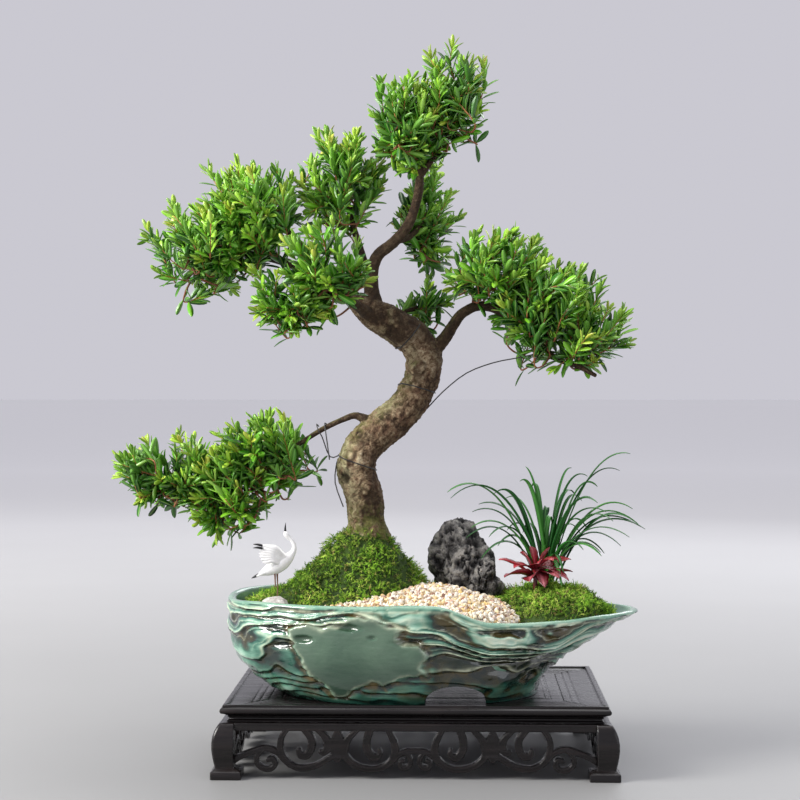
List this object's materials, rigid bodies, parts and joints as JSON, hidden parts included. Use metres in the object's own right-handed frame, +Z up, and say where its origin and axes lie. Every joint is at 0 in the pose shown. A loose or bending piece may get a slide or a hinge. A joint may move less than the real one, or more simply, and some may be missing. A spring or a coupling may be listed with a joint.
{
  "type": "bonsai tree in a pot",
  "caption": "Tabletop bonsai: curved trunk with leafy pads in a boat-shaped celadon pot with moss, gravel, rock, grass and a crane figurine, on a carved black wooden stand.",
  "frame": {"origin": "on the table plane under the middle of the whole arrangement's bounding box", "axes": "+Z up; +X along the long side of the pot and stand, towards the pointed end of the pot and the grass; +Y towards the back, so the front faces -Y"},
  "size_m": [0.4458, 0.2132, 0.5836],
  "materials": {
    "black_lacquer": "gloss",
    "celadon_glaze": "gloss",
    "soil": "matte",
    "moss": "matte",
    "gravel": "matte",
    "dark_rock": "matte",
    "bark": "matte",
    "leaves": "satin",
    "grass_blades": "satin",
    "red_leaves": "satin",
    "training_wire": "satin",
    "crane_white": "satin",
    "crane_black": "satin",
    "crane_leg": "satin",
    "crane_stone": "matte"
  },
  "bodies": {
    "root": {"crane_beak": "crane_black", "crane_body": "crane_white", "crane_leg_far": "crane_leg", "crane_leg_near": "crane_leg", "crane_stone": "crane_stone", "crane_tail": "crane_black", "crane_wing_tip": "crane_black", "foliage_back": "leaves", "foliage_back_low": "leaves", "foliage_crown": "leaves", "foliage_front": "leaves", "foliage_lower_left": "leaves", "foliage_right": "leaves", "foliage_upper_left": "leaves", "foliage_upper_middle": "leaves", "grass_clump": "grass_blades", "gravel_bed": "gravel", "moss_bed_back": "moss", "moss_mound_left": "moss", "moss_mound_right": "moss", "pot": "celadon_glaze", "red_leaf_plant": "red_leaves", "rock": "dark_rock", "soil": "soil", "stand_apron_back": "black_lacquer", "stand_apron_front": "black_lacquer", "stand_apron_left": "black_lacquer", "stand_apron_right": "black_lacquer", "stand_leg_back_left": "black_lacquer", "stand_leg_back_right": "black_lacquer", "stand_leg_front_left": "black_lacquer", "stand_leg_front_right": "black_lacquer", "stand_panel": "black_lacquer", "stand_rail_back": "black_lacquer", "stand_rail_front": "black_lacquer", "stand_rail_left": "black_lacquer", "stand_rail_right": "black_lacquer", "stand_waist_back": "black_lacquer", "stand_waist_front": "black_lacquer", "stand_waist_left": "black_lacquer", "stand_waist_right": "black_lacquer", "trunk_and_branches": "bark", "wire_band_upper": "training_wire", "wire_guy_right": "training_wire", "wire_tie_left": "training_wire", "wire_tie_left_second": "training_wire"}
  },
  "joints": []
}
